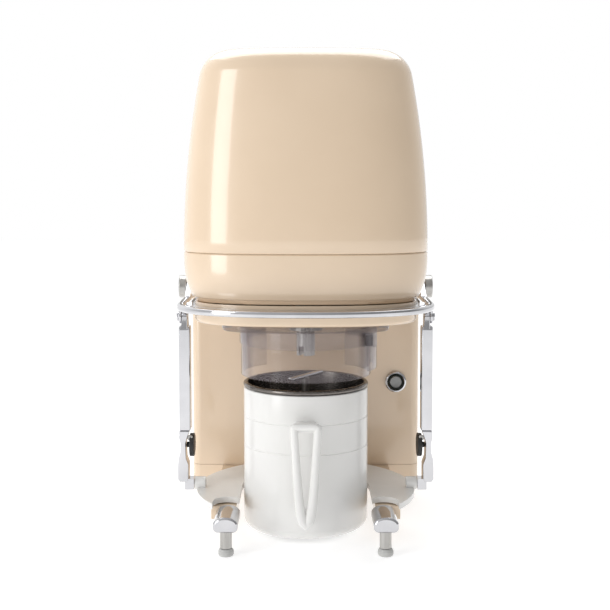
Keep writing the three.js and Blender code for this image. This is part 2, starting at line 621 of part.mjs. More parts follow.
add('shaft_seal', shaftSeal(), black);
add('drive_shaft', driveShaft(), steel);
add('drive_dog', driveDog(), steel);
add('drive_gear', driveGear(), brass);
add('chassis_plate', chassisPlate(), steel);
add('motor_can', motorCan(), darkSteel);
add('motor_pinion', motorPinion(), steel);
add('cooling_fan', coolingFan(), black);
add('control_board', controlBoard(), board);
add('button_bezel', buttonBezel(), chrome);
add('button_ring', buttonRing(), black);
add('button_cap', buttonCap(), steel);
add('power_inlet', powerInlet(), black);
add('rocker_key', rockerKey(), black);

export default assembly;
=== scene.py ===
"""Countertop ice cream maker: the looks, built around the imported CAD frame.

Metres, +Z up, -Y is the front. Outlines seen from above are drawn from the mug's axis, then moved to it.
"""
import json
import math

import bmesh
import bpy
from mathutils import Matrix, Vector


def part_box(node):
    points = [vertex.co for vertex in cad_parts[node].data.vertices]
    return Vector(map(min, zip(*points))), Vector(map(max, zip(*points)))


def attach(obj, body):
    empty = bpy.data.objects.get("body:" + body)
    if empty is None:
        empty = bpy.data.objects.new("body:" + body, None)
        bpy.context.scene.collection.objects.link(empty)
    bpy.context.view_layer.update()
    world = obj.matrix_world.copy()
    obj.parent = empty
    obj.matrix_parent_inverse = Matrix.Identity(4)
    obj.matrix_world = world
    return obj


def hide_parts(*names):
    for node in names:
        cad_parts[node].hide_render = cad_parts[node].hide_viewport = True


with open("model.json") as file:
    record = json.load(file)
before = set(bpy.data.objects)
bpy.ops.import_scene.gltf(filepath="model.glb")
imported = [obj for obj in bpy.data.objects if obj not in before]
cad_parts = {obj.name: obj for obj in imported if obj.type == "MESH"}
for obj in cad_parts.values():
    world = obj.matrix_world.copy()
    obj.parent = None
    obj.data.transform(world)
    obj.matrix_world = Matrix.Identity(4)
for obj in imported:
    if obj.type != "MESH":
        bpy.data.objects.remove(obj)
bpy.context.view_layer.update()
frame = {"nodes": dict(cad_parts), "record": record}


# ---- Driving dimensions, read from the frame ----
def size_of(node):
    low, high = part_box(node)
    return high - low


def middle(node):
    low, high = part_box(node)
    return (low + high) / 2


AXIS = Vector((0, middle("drive_shaft").y, 0))   # the vertical axis of the mug and the drive
COVER_LOW, COVER_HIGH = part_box("head_cover")
BASE_LOW, BASE_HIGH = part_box("head_base")
CHIN_LOW, CHIN_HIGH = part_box("chin_plate")
MUG_LOW, MUG_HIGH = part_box("mug_shell")
LINER_LOW, LINER_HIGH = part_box("mug_liner")
BAR_LOW, BAR_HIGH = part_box("handle_bar")
RIM_PROUD = 0.0004              # how far the liner's rim stands outside the mug
MUG_RADIUS = size_of("mug_liner").x / 2 - RIM_PROUD
TOP_Z = COVER_HIGH.z
SEAM_Z = BASE_HIGH.z
HEAD_BOTTOM_Z = BASE_LOW.z
HEAD_HALF_WIDTH = BASE_HIGH.x
HEAD_FRONT_Y = COVER_LOW.y - AXIS.y
HEAD_BACK_Y = COVER_HIGH.y - AXIS.y
WAIST_Y = -0.010                # where the front curves of head, chin and handle start
CURVE_POWER = 2.4               # how square those front curves are
TOP_ROUND = 0.026               # radius of the edge round the head's top


# ---- Camera ----
LENS_MM = 65.63
VIEW_SHIFT = -0.0902
CAMERA_PLACE = Vector((-0.0008, -1.1856, 0.373))    # from the mug's axis
CAMERA_TILT = 3.418             # degrees below level


def make_camera():
    data = bpy.data.cameras.new("camera")
    data.lens = LENS_MM
    data.shift_y = VIEW_SHIFT
    camera = bpy.data.objects.new("camera", data)
    camera.location = AXIS + CAMERA_PLACE
    camera.rotation_euler = (math.radians(90 - CAMERA_TILT), 0, 0)
    bpy.context.scene.collection.objects.link(camera)
    bpy.context.scene.camera = camera


make_camera()


# ---- Materials ----
NOISE_LOW, NOISE_HIGH = 0.3, 0.7    # a noise value seldom leaves this range


class Nodes:
    """A material's node tree with short calls for the nodes used here."""

    def __init__(self, name):
        self.material = bpy.data.materials.new(name)
        self.material.use_nodes = True
        self.tree = self.material.node_tree
        self.shader = self.tree.nodes["Principled BSDF"]
        self.place = self.add("ShaderNodeTexCoord").outputs["Object"]

    def add(self, kind, **settings):
        node = self.tree.nodes.new(kind)
        for key, value in settings.items():
            setattr(node, key, value)
        return node

    def link(self, source, target):
        self.tree.links.new(source, target)

    def set(self, **values):
        for key, value in values.items():
            self.shader.inputs[key.replace("_", " ")].default_value = value

    def noise(self, scale, detail=2.0, stretch=(1, 1, 1)):
        mapping = self.add("ShaderNodeMapping")
        mapping.inputs["Scale"].default_value = stretch
        self.link(self.place, mapping.inputs["Vector"])
        noise = self.add("ShaderNodeTexNoise")
        noise.inputs["Scale"].default_value = scale
        noise.inputs["Detail"].default_value = detail
        self.link(mapping.outputs["Vector"], noise.inputs["Vector"])
        return noise.outputs["Fac"]

    def spread(self, source, low, high):
        """Stretches the usual range of a noise value to low to high."""
        scale = self.add("ShaderNodeMapRange")
        scale.inputs["From Min"].default_value = NOISE_LOW
        scale.inputs["From Max"].default_value = NOISE_HIGH
        scale.inputs["To Min"].default_value = low
        scale.inputs["To Max"].default_value = high
        self.link(source, scale.inputs["Value"])
        return scale.outputs["Result"]

    def tint(self, source, dark, light):
        ramp = self.add("ShaderNodeValToRGB")
        ramp.color_ramp.elements[0].position = NOISE_LOW
        ramp.color_ramp.elements[1].position = NOISE_HIGH
        ramp.color_ramp.elements[0].color = (*dark, 1)
        ramp.color_ramp.elements[1].color = (*light, 1)
        self.link(source, ramp.inputs["Fac"])
        self.link(ramp.outputs["Color"], self.shader.inputs["Base Color"])

    def bump(self, source, strength, distance):
        bump = self.add("ShaderNodeBump")
        bump.inputs["Strength"].default_value = strength
        bump.inputs["Distance"].default_value = distance
        self.link(source, bump.inputs["Height"])
        self.link(bump.outputs["Normal"], self.shader.inputs["Normal"])


def lacquer():
    """Gloss stove enamel with a trace of orange peel."""
    m = Nodes("cream_paint")
    m.tint(m.noise(14, 3), (0.755, 0.590, 0.425), (0.780, 0.615, 0.448))
    m.link(m.spread(m.noise(60), 0.20, 0.27), m.shader.inputs["Roughness"])
    m.bump(m.noise(420, 1), 0.03, 0.0003)
    m.set(Coat_Weight=0.8, Coat_Roughness=0.10, Coat_IOR=1.6)
    return m.material


def polished_metal(name, dark, light, roughness, peel=0.02):
    m = Nodes(name)
    m.tint(m.noise(30, 4), dark, light)
    m.link(m.spread(m.noise(140, 4), roughness[0], roughness[1]), m.shader.inputs["Roughness"])
    m.bump(m.noise(260, 2), peel, 0.0002)
    m.set(Metallic=1.0)
    return m.material


def brushed_metal(name, dark, light, roughness, stretch):
    m = Nodes(name)
    grain = m.noise(240, 5, stretch)
    m.tint(grain, dark, light)
    m.link(m.spread(grain, roughness[0], roughness[1]), m.shader.inputs["Roughness"])
    m.bump(grain, 0.10, 0.0002)
    m.set(Metallic=1.0)
    return m.material


def moulded(name, dark, light, roughness, grain=900, strength=0.05):
    m = Nodes(name)
    m.tint(m.noise(22, 3), dark, light)
    m.link(m.spread(m.noise(90, 2), roughness[0], roughness[1]), m.shader.inputs["Roughness"])
    m.bump(m.noise(grain, 2), strength, 0.0002)
    return m.material


def clear_plastic():
    """Smoky polycarbonate, thin enough to need no refraction, and denser where it is seen edge on."""
    m = Nodes("clear_guard")
    m.tint(m.noise(18, 2), (0.26, 0.22, 0.235), (0.31, 0.27, 0.285))
    m.link(m.spread(m.noise(120, 3), 0.05, 0.10), m.shader.inputs["Roughness"])
    m.bump(m.noise(60, 1), 0.02, 0.0003)
    edge = m.add("ShaderNodeLayerWeight")
    edge.inputs["Blend"].default_value = 0.35
    m.link(m.spread(edge.outputs["Facing"], 0.16, 0.62), m.shader.inputs["Alpha"])
    m.set(IOR=1.58, Coat_Weight=0.5, Coat_Roughness=0.03)
    return m.material


ROUND_BRUSH = (1, 1, 14)        # fine rings round a vertical axis
LONG_BRUSH = (1, 1, 0.06)       # long vertical grain
FACE_BRUSH = (14, 1, 1)         # fine upright lines across a face
PAINT = lacquer()
CHROME = polished_metal("chrome", (0.58, 0.58, 0.60), (0.66, 0.66, 0.68), (0.06, 0.11))
SATIN = brushed_metal("satin_steel", (0.42, 0.41, 0.39), (0.55, 0.54, 0.52), (0.26, 0.36), LONG_BRUSH)
CAP_STEEL = brushed_metal("cap_steel", (0.20, 0.20, 0.20), (0.30, 0.30, 0.29), (0.28, 0.38), FACE_BRUSH)
# The mug liner's steel is coloured much darker than steel: painted shade and painted dark reflection inside
# the mug.
MUG_STEEL_WITH_PAINTED_SHADE = brushed_metal("mug_steel", (0.14, 0.125, 0.115), (0.22, 0.205, 0.19), (0.18, 0.30), ROUND_BRUSH)
MOTOR = moulded("motor_steel", (0.05, 0.05, 0.055), (0.08, 0.08, 0.085), (0.35, 0.5))
BRASS = brushed_metal("brass", (0.55, 0.40, 0.17), (0.68, 0.52, 0.25), (0.22, 0.34), ROUND_BRUSH)
WHITE = moulded("white_plastic", (0.79, 0.785, 0.765), (0.82, 0.815, 0.80), (0.16, 0.22), 500, 0.02)
NYLON = moulded("nylon", (0.66, 0.63, 0.56), (0.72, 0.69, 0.62), (0.4, 0.5))
BLACK = moulded("black_plastic", (0.012, 0.012, 0.012), (0.022, 0.021, 0.02), (0.35, 0.5), 1400, 0.15)
RUBBER = moulded("black_rubber", (0.010, 0.013, 0.010), (0.020, 0.026, 0.020), (0.5, 0.65), 1600, 0.12)
PAD = moulded("grey_pad", (0.50, 0.50, 0.49), (0.56, 0.56, 0.54), (0.4, 0.5))
BOARD = moulded("circuit_board", (0.015, 0.10, 0.035), (0.02, 0.14, 0.05), (0.4, 0.55))
CLEAR = clear_plastic()

SLOT_MATERIALS = {
    "cream_paint": PAINT, "chrome": CHROME, "satin_steel": SATIN, "mug_steel": MUG_STEEL_WITH_PAINTED_SHADE,
    "motor_steel": MOTOR, "brass": BRASS, "white_plastic": WHITE, "clear_guard": CLEAR, "nylon": NYLON,
    "black_plastic": BLACK, "black_rubber": RUBBER, "grey_pad": PAD, "circuit_board": BOARD,
}
NODE_SLOT = {entry["node"]: entry["material_slot"] for entry in frame["record"]["subparts"]}
NODE_BODY = {
    node: body for body, nodes in frame["record"]["behaviour"]["bodies"].items() for node in nodes
}


def dress(piece, material):
    piece.data.materials.clear()
    piece.data.materials.append(material)
    return piece


for node_name, node in frame["nodes"].items():
    dress(node, SLOT_MATERIALS[NODE_SLOT[node_name]])


# ---- Pieces ----
def smooth(mesh, angle=35):
    for polygon in mesh.polygons:
        polygon.use_smooth = True
    mesh.set_sharp_from_angle(angle=math.radians(angle))


def new_piece(name, bm, material, body, stands_for=(), angle=35):
    """Turns a bmesh into a piece that rides on a body."""
    bmesh.ops.recalc_face_normals(bm, faces=bm.faces)
    mesh = bpy.data.meshes.new(name)
    bm.to_mesh(mesh)
    bm.free()
    smooth(mesh, angle)
    piece = bpy.data.objects.new(name, mesh)
    bpy.context.scene.collection.objects.link(piece)
    dress(piece, material)
    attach(piece, body)
    if stands_for:
        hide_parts(*stands_for)
    return piece


def apply_modifiers(piece):
    bpy.context.view_layer.update()
    shaped = piece.evaluated_get(bpy.context.evaluated_depsgraph_get())
    mesh = bpy.data.meshes.new_from_object(shaped)
    piece.modifiers.clear()
    piece.data = mesh


def refine(node, width, segments=3, angle=30):
    """A CAD node's shape with rounded edges and smooth shading, in place of the node."""
    bm = bmesh.new()
    bm.from_mesh(frame["nodes"][node].data)
    bmesh.ops.remove_doubles(bm, verts=bm.verts, dist=1e-6)
    bmesh.ops.dissolve_limit(bm, angle_limit=math.radians(1), verts=bm.verts, edges=bm.edges)
    slot = NODE_SLOT[node]
    piece = new_piece(node + "_finished", bm, SLOT_MATERIALS[slot], NODE_BODY[node], [node])
    bevel = piece.modifiers.new("bevel", "BEVEL")
    bevel.width = width
    bevel.segments = segments
    bevel.limit_method = "ANGLE"
    bevel.angle_limit = math.radians(angle)
    bevel.use_clamp_overlap = True
    weighted = piece.modifiers.new("weighted", "WEIGHTED_NORMAL")
    weighted.weight = 100
    weighted.keep_sharp = True
    apply_modifiers(piece)
    return piece


def lathe(bm, profile, sides=96, axis="Z", centre=(0, 0, 0)):
    """Turns a profile of (radius, height) points round an axis through centre.

    A profile starts and ends on the axis, or is closed by joining its two ends.
    """
    rings = []
    for i in range(sides):
        a = 2 * math.pi * i / sides
        ring = []
        for r, h in profile:
            u, v = r * math.cos(a), r * math.sin(a)
            point = {"Z": (u, v, h), "X": (h, u, v), "Y": (v, h, u)}[axis]
            ring.append(bm.verts.new(Vector(point) + Vector(centre)))
        rings.append(ring)
    for i in range(sides):
        here, there = rings[i], rings[(i + 1) % sides]
        for j in range(len(profile) - 1):
            bm.faces.new((here[j], there[j], there[j + 1], here[j + 1]))
        if profile[0][0] > 0 and profile[-1][0] > 0:
            bm.faces.new((here[-1], there[-1], there[0], here[0]))
    bmesh.ops.remove_doubles(bm, verts=bm.verts, dist=1e-7)
    return bm


def arc(cx, cy, radius, start, end, steps=6):
    """Points round a centre, with angles in degrees."""
    points = []
    for i in range(steps + 1):
        a = math.radians(start + (end - start) * i / steps)
        points.append((cx + radius * math.cos(a), cy + radius * math.sin(a)))
    return points


def skin(bm, rings, close_ends=(True, True)):
    """Bridges closed rings of equal point count. Returns the vertex rings."""
    made = [[bm.verts.new(point) for point in ring] for ring in rings]
    count = len(rings[0])
    for low, high in zip(made, made[1:]):
        for i in range(count):
            j = (i + 1) % count
            bm.faces.new((low[i], low[j], high[j], high[i]))
    if close_ends[0]:
        bm.faces.new(list(reversed(made[0])))
    if close_ends[1]:
        bm.faces.new(made[-1])
    return made


def shell(bm, outer, inner):
    """A wall between two skins, open at their first rings, with a rim there, and closed at their last."""
    outside = skin(bm, outer, (False, True))
    inside = skin(bm, inner, (False, True))
    count = len(outer[0])
    for i in range(count):
        j = (i + 1) % count
        bm.faces.new((outside[0][i], inside[0][i], inside[0][j], outside[0][j]))


def signed_power(value, exponent):
    return math.copysign(abs(value) ** exponent, value)


def front_curve(half_width, front_y, steps=72, waist_y=WAIST_Y):
    """A curve that bulges to front_y at x = 0 and meets waist_y at both sides. Y is from the mug's axis."""
    points = []
    for i in range(steps + 1):
        a = math.pi * (1 + i / steps)
        x = half_width * signed_power(math.cos(a), 2 / CURVE_POWER)
        y = waist_y + (waist_y - front_y) * signed_power(math.sin(a), 2 / CURVE_POWER)
        points.append((x, y))
    return points


def rounded_rectangle(across, up, radius, steps=4):
    """The outline of a rectangle with round corners. across and up are its (low, high) limits."""
    left, right = across[0] + radius, across[1] - radius
    bottom, top = up[0] + radius, up[1] - radius
    points = []
    for x, z, start in ((right, bottom, 270), (right, top, 0), (left, top, 90), (left, bottom, 180)):
        points += arc(x, z, radius, start, start + 90, steps)
    return points


def merge(bm, part):
    """Adds a separate closed part to a bmesh."""
    bmesh.ops.recalc_face_normals(part, faces=part.faces)
    mesh = bpy.data.meshes.new("part")
    part.to_mesh(mesh)
    part.free()
    bm.from_mesh(mesh)
    bpy.data.meshes.remove(mesh)


# ---- Head ----
HEAD_WALL = 0.003
COVER_LIP = 0.0009              # bevel of the cover's lower edge
BACK_STEPS = 48
BACK_POWER = 5                  # how square the head's back corners are
TOP_DRAW = {"side": 0.0225, "front": 0.020, "back": 0.018}      # how far the head draws in at its top
BOTTOM_DRAW = {"side": 0.0118, "front": 0.006, "back": 0.006}   # and at its bottom


def head_ring(z, inset=0.0):
    """The head's outline at a height."""
    above = max(0.0, (z - SEAM_Z) / (TOP_Z - SEAM_Z)) ** 2
    below = max(0.0, (SEAM_Z - z) / (SEAM_Z - HEAD_BOTTOM_Z)) ** 3
    half_width = HEAD_HALF_WIDTH - TOP_DRAW["side"] * above - BOTTOM_DRAW["side"] * below - inset
    front_y = HEAD_FRONT_Y + TOP_DRAW["front"] * above + BOTTOM_DRAW["front"] * below + inset
    back_y = HEAD_BACK_Y - TOP_DRAW["back"] * above - BOTTOM_DRAW["back"] * below - inset
    outline = front_curve(half_width, front_y)
    for i in range(1, BACK_STEPS):
        a = math.pi * i / BACK_STEPS
        x = half_width * signed_power(math.cos(a), 2 / BACK_POWER)
        y = WAIST_Y + (back_y - WAIST_Y) * math.sin(a) ** (2 / BACK_POWER)
        outline.append((x, y))
    return [(x, y + AXIS.y, z) for x, y in outline]


def head_cover():
    """A lid with straight sides, a round edge and a nearly flat top."""
    bottom = COVER_LOW.z
    side_steps = 14
    round_steps = 17
    flat_rings = (1.15, 1.6, 2.2)   # how far in the top's rings lie, in radii of the round edge

    def rings(inset):
        made = [head_ring(bottom, inset + COVER_LIP), head_ring(bottom + COVER_LIP, inset)]
        side = TOP_Z - TOP_ROUND - bottom - COVER_LIP
        for i in range(1, side_steps + 1):
            made.append(head_ring(bottom + COVER_LIP + side * i / side_steps, inset))
        radius = TOP_ROUND - inset
        for i in range(1, round_steps):
            a = math.pi / 2 * i / round_steps
            z = TOP_Z - TOP_ROUND + radius * math.sin(a)
            made.append(head_ring(z, inset + radius * (1 - math.cos(a))))
        for reach in flat_rings:
            made.append(head_ring(TOP_Z - inset, inset + radius * reach))
        return made

    bm = bmesh.new()
    shell(bm, rings(0.0), rings(HEAD_WALL))
    new_piece("head_cover_finished", bm, PAINT, "housing", ["head_cover"], 60)


def head_base():
    """A tub that tapers in to the chin, with a fine step near its lower edge."""
    bevel = 0.0012
    wall = 0.0045
    side_steps = 14
    step_z = HEAD_BOTTOM_Z + 0.0052
    side = step_z - (SEAM_Z - bevel)
    outer = [(SEAM_Z, bevel), (SEAM_Z - bevel, 0.0)]
    outer += [(SEAM_Z - bevel + side * i / side_steps, 0.0) for i in range(1, side_steps + 1)]
    outer += [(step_z, 0.0007), (step_z - 0.0006, 0.0016)]
    outer += [(HEAD_BOTTOM_Z + 0.0006, 0.0016), (HEAD_BOTTOM_Z, 0.0024)]
    inner = [(SEAM_Z, wall), (HEAD_BOTTOM_Z + 0.02, wall), (HEAD_BOTTOM_Z + 0.004, 0.008)]
    bm = bmesh.new()
    shell(bm, [head_ring(z, inset) for z, inset in outer], [head_ring(z, inset) for z, inset in inner])
    new_piece("head_base_finished", bm, PAINT, "housing", ["head_base"], 40)


def chin():
    """An open tray with a round lower edge, under the front of the head."""
    rear = CHIN_HIGH.y
    half = CHIN_HIGH.x
    front = CHIN_LOW.y - AXIS.y
    low, high = CHIN_LOW.z, CHIN_HIGH.z
    radius = 0.0045
    round_steps = 8
    wall = 0.004

    def ring(z, inset):
        curve = front_curve(half - inset, front + inset)
        return [(x, y + AXIS.y, z) for x, y in curve] + [(half - inset, rear, z), (-half + inset, rear, z)]

    outer = [ring(high, 0.0)]
    for i in range(round_steps + 1):
        a = math.pi / 2 * i / round_steps
        outer.append(ring(low + radius * (1 - math.sin(a)), radius * (1 - math.cos(a))))
    inner = [ring(high, wall), ring(low + wall, 0.006)]
    bm = bmesh.new()
    shell(bm, outer, inner)
    new_piece("chin_plate_finished", bm, PAINT, "housing", ["chin_plate"], 40)


head_cover()
head_base()
chin()


# ---- Handle ----
ARM_THICKNESS = 0.0065          # of the bar at its sides
FRONT_THICKNESS = 0.016         # of the bar at its front
BAR_EDGE = 0.0021
BAR_STEPS = 96
TRIM_OVERLAP = 0.0003           # how far the bar's height passes the trim behind it, above and below
HUB = {"radius": 0.0135, "edge": 0.0014, "sides": 64, "hole": 0.0043}
EAR = {"radius": 0.0075, "edge": 0.0008, "sides": 40, "hole": 0.0033}
EAR_THICKNESS = 0.003
# Outlines of (y, z) points: the web from the pivot, and the ear's neck from the link pin
WEB = [(-0.046, -0.0125), (0.0, -0.0125), (-0.007, 0.009), (-0.018, 0.001), (-0.032, -0.006)]
NECK = [(-0.0065, 0.0035), (0.0065, 0.0035), (0.0065, 0.0115), (-0.0065, 0.0115)]


def add_disc_x(bm, faces, at, radius, edge, sides, hole):
    """A disc across X with rounded edges and a hole."""
    low, high = faces
    rounded = arc(radius - edge, low + edge, edge, 270, 360, 4)
    rounded += arc(radius - edge, high - edge, edge, 0, 90, 4)
    part = bmesh.new()
    lathe(part, [(hole, low)] + rounded + [(hole, high)], sides, "X", (0, at.y, at.z))
    merge(bm, part)


def add_slab_x(bm, faces, at, outline, inset):
    """An outline thickened along X between two faces, each drawn in by inset."""
    part = bmesh.new()
    skin(part, [[(x, at.y + y, at.z + z) for y, z in outline] for x in (faces[0] + inset, faces[1] - inset)])
    merge(bm, part)


def handle():
    """A flat bar bent to a U, with a hub, a web and a link ear on each arm."""
    trim_low, trim_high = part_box("chin_trim")
    heights = (trim_low.z - TRIM_OVERLAP, trim_high.z + TRIM_OVERLAP)
    pivot = middle("left_pivot_pin")
    pin = middle("left_link_pin")
    outer_x = BAR_HIGH.x
    inner_x = outer_x - ARM_THICKNESS
    front_y = BAR_LOW.y - AXIS.y
    rear_y = pivot.y - AXIS.y
    outer = front_curve(outer_x, front_y, BAR_STEPS)
    inner = front_curve(inner_x, front_y + FRONT_THICKNESS, BAR_STEPS)
    outer = [(-outer_x, rear_y)] + outer + [(outer_x, rear_y)]
    inner = [(-inner_x, rear_y)] + inner + [(inner_x, rear_y)]
    rings = []
    for outer_point, inner_point in zip(outer, inner):
        start, end = Vector(outer_point), Vector(inner_point)
        across = (end - start).normalized()
        section = rounded_rectangle((0.0, (end - start).length), heights, BAR_EDGE)
        rings.append([(start.x + across.x * s, AXIS.y + start.y + across.y * s, z) for s, z in section])
    bm = bmesh.new()
    skin(bm, rings)
    for side in (-1, 1):
        arm = sorted((side * inner_x, side * outer_x))
        ear = sorted((side * (outer_x - EAR_THICKNESS), side * outer_x))
        add_disc_x(bm, arm, pivot, **HUB)
        add_slab_x(bm, arm, pivot, WEB, 0.0006)
        add_disc_x(bm, ear, pin, **EAR)
        add_slab_x(bm, ear, pin, NECK, 0.0004)
    new_piece("handle_bar_finished", bm, CHROME, "handle", ["handle_bar"], 40)


handle()


# ---- Mug ----
MUG_WALL = 0.003
MUG_FOOT = 0.010                # radius round the mug's bottom
MUG_LIP = 0.0012
MUG_SIDES = 144
GROOVE_HEIGHTS = (0.096, 0.1265)
GROOVE_DEPTH = 0.0005
GROOVE_MOUTH, GROOVE_FLOOR = 0.0009, 0.0004     # half heights of a groove, outside and inside


def mug_shell():
    """An open mug with two fine grooves round it."""
    r, low, high = MUG_RADIUS, MUG_LOW.z, MUG_HIGH.z
    profile = [(0, low), (r - MUG_FOOT, low)]
    profile += arc(r - MUG_FOOT, low + MUG_FOOT, MUG_FOOT, 270, 360, 12)[1:]
    for z in GROOVE_HEIGHTS:
        profile += [(r, z - GROOVE_MOUTH), (r - GROOVE_DEPTH, z - GROOVE_FLOOR)]
        profile += [(r - GROOVE_DEPTH, z + GROOVE_FLOOR), (r, z + GROOVE_MOUTH)]
    profile += arc(r - MUG_LIP, high - MUG_LIP, MUG_LIP, 0, 90, 4)
    profile += [(r - MUG_WALL, high), (r - MUG_WALL, low + 0.009)]
    profile += [(r - 0.008, low + MUG_WALL), (0, low + MUG_WALL)]
    bm = lathe(bmesh.new(), profile, MUG_SIDES, "Z", AXIS)
    new_piece("mug_shell_finished", bm, WHITE, "mug", ["mug_shell"], 30)


def mug_liner():
    """A thin steel cup with a beaded rim that stands on the mug's edge."""
    gap = 0.0003
    wall = 0.001
    lip = 0.0012
    outer = MUG_RADIUS - MUG_WALL - gap
    inner = outer - wall
    low, high = LINER_LOW.z, LINER_HIGH.z
    bead = (high - MUG_HIGH.z - RIM_PROUD) / 2
    outer_round, inner_round = 0.006, 0.007
    profile = [(0, low), (outer - outer_round, low)]
    profile += arc(outer - outer_round, low + 0.007, outer_round, 290, 360, 8)
    profile += [(outer, high - 2 * bead)] + arc(LINER_HIGH.x - bead, high - bead, bead, 270, 450, 14)
    profile += arc(inner + lip, high - lip, lip, 90, 180, 4)
    profile += arc(inner - inner_round, low + 0.0085, inner_round, 360, 270, 8) + [(0, low + 0.0012)]
    bm = lathe(bmesh.new(), profile, MUG_SIDES, "Z", AXIS)
    new_piece("mug_liner_finished", bm, MUG_STEEL_WITH_PAINTED_SHADE, "mug", ["mug_liner"], 40)


RIB_HALF_WIDTH, RIB_HALF_DEPTH = 0.0040, 0.0042
RIB_SIDES = 16
TIP_SWELL = 0.30                # how much wider the rib is at the loop's tip
SWELL_HEIGHT = 0.07             # how far up from the tip that fades out
HANDLE_STEPS = 24


def mug_handle():
    """A V-shaped loop of round-backed rib, wide at the top and closing to a round point."""
    low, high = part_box("mug_handle")
    front = low.y + RIB_HALF_DEPTH
    top, tip = high.z - RIB_HALF_WIDTH, low.z + 0.0048
    half = high.x - RIB_HALF_WIDTH
    right = []
    for i in range(HANDLE_STEPS + 1):
        t = i / HANDLE_STEPS
        width = half * (0.42 + 0.58 * t ** 0.85) * (1 - (1 - t) ** 9) ** 0.5
        right.append((width, tip + (top - tip) * t))
    left = [(-x, z) for x, z in reversed(right[1:])]
    crown_angles = [math.radians(a) for a in range(30, 180, 30)]
    crown = [(half * math.cos(a), top + 0.0002 * math.sin(a)) for a in crown_angles]
    path = right + crown + left
    bm = bmesh.new()
    rings = []
    for i, (x, z) in enumerate(path):
        before, after = path[i - 1], path[(i + 1) % len(path)]
        along = Vector((after[0] - before[0], 0, after[1] - before[1])).normalized()
        out = Vector((along.z, 0, -along.x))
        swell = 1.0 + TIP_SWELL * max(0.0, 1 - (z - tip) / SWELL_HEIGHT)
        ring = []
        for k in range(RIB_SIDES):
            a = 2 * math.pi * k / RIB_SIDES
            sideways = RIB_HALF_WIDTH * swell * math.cos(a)
            depth = RIB_HALF_DEPTH * math.sin(a)
            ring.append(bm.verts.new(Vector((x, front, z)) + out * sideways + Vector((0, depth, 0))))
        rings.append(ring)
    for here, there in zip(rings, rings[1:] + rings[:1]):
        for k in range(RIB_SIDES):
            j = (k + 1) % RIB_SIDES
            bm.faces.new((here[k], here[j], there[j], there[k]))
    wall_y = AXIS.y - MUG_RADIUS + 0.0008       # a little inside the mug's wall
    upper_foot = (half - 0.001, (top - 0.006, top + 0.001))
    lower_foot = (0.0042, (tip + 0.001, tip + 0.011))
    for half_width, heights in (upper_foot, lower_foot):
        outline = rounded_rectangle((-half_width, half_width), heights, 0.0024)
        part = bmesh.new()
        skin(part, [[(x, y, z) for x, z in outline] for y in (front, wall_y)])
        merge(bm, part)
    new_piece("mug_handle_finished", bm, WHITE, "mug", ["mug_handle"], 60)


mug_shell()
mug_liner()
mug_handle()


# ---- Push button ----
BEZEL_HOLE = 0.0097
BEZEL_ROUND = 0.0022


def button():
    """A chrome bezel, a black ring and a slightly dished steel cap, turned round one axis along Y."""
    centre = middle("button_bezel")

    def turn(node, profile, material, body, slot):
        bm = lathe(bmesh.new(), profile, 72, "Y", (centre.x, 0, centre.z))
        new_piece(node + "_finished", bm, material, body, [node], 35)

    r = size_of("button_bezel").x / 2
    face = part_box("button_bezel")[0].y
    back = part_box("column_shell")[0].y - 0.0003
    profile = [(BEZEL_HOLE, back), (r, back), (r, face + BEZEL_ROUND + 0.0008)]
    profile += arc(r - BEZEL_ROUND, face + BEZEL_ROUND, BEZEL_ROUND, 360, 270, 6)
    profile += [(BEZEL_HOLE + 0.0002, face + 0.0005), (BEZEL_HOLE, face + 0.001)]
    turn("button_bezel", profile, CHROME, "housing", "chrome")

    low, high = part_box("button_ring")
    r, face, back = (high.x - low.x) / 2, low.y, high.y
    profile = [(0.0075, back), (0.0075, face + 0.0008), (0.0082, face), (r, face + 0.0004), (r, back)]
    turn("button_ring", profile, RUBBER, "housing", "black_rubber")

    low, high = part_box("button_cap")
    r, face, back = (high.x - low.x) / 2, low.y, high.y
    profile = [(0, face + 0.0006), (r * 0.7, face + 0.0002), (r - 0.0008, face)]
    profile += [(r, face + 0.0008), (r, back), (0, back)]
    turn("button_cap", profile, CAP_STEEL, "button", "satin_steel")


button()


# ---- Guard ----
GUARD_RADIUS = 0.0696
GUARD_WALL = 0.0022
BAND_FACES = (0.0002, 0.0014)   # how far the band's two faces stand outside the pane
BACK_OPENING = 0.045            # half width of the guard's open back
SKIRT_RADIUS = 0.0765
SKIRT_BOTTOM_Z = 0.178
SKIRT_TURN = (329, 387)         # degrees from +X
BOSS_RADIUS, BOSS_HOLE, BOSS_ROUND = 0.008, 0.0045, 0.0008
FLANGE_THICKNESS = 0.0055
FLANGE_WAIST_Y, FLANGE_REAR_Y = -0.040, 0.040
FLANGE_EDGE = 0.0008
SHAFT_SLOT = 0.022              # half width of the slot for the shaft


def sector_wall(radii, heights, angles, edge, sides):
    """A closed part of a ring wall. Angles are in degrees from +X, radii and heights are (low, high)."""
    section = rounded_rectangle(radii, heights, edge, 3)
    rings = []
    for i in range(sides + 1):
        a = math.radians(angles[0] + (angles[1] - angles[0]) * i / sides)
        rings.append([(AXIS.x + r * math.cos(a), AXIS.y + r * math.sin(a), z) for r, z in section])
    part = bmesh.new()
    skin(part, rings)
    return part


def flange_plate(low, high, bottom):
    """The guard's flat top, with a slot from its back edge that lets it pass the shaft."""
    half = high.x
    rear = FLANGE_REAR_Y
    outline = front_curve(half, low.y - AXIS.y, 64, FLANGE_WAIST_Y)
    outline += [(half, rear), (SHAFT_SLOT, rear), (SHAFT_SLOT, 0.0)]
    outline += arc(0, 0, SHAFT_SLOT, 0, -180, 24)[1:-1]
    outline += [(-SHAFT_SLOT, 0.0), (-SHAFT_SLOT, rear), (-half, rear)]
    levels = ((FLANGE_EDGE, bottom), (0.0, bottom + FLANGE_EDGE))
    levels += ((0.0, high.z - FLANGE_EDGE), (FLANGE_EDGE, high.z))
    part = bmesh.new()
    skin(part, [[(x * (1 - inset / half), y + AXIS.y, z) for x, y in outline] for inset, z in levels])
    return part


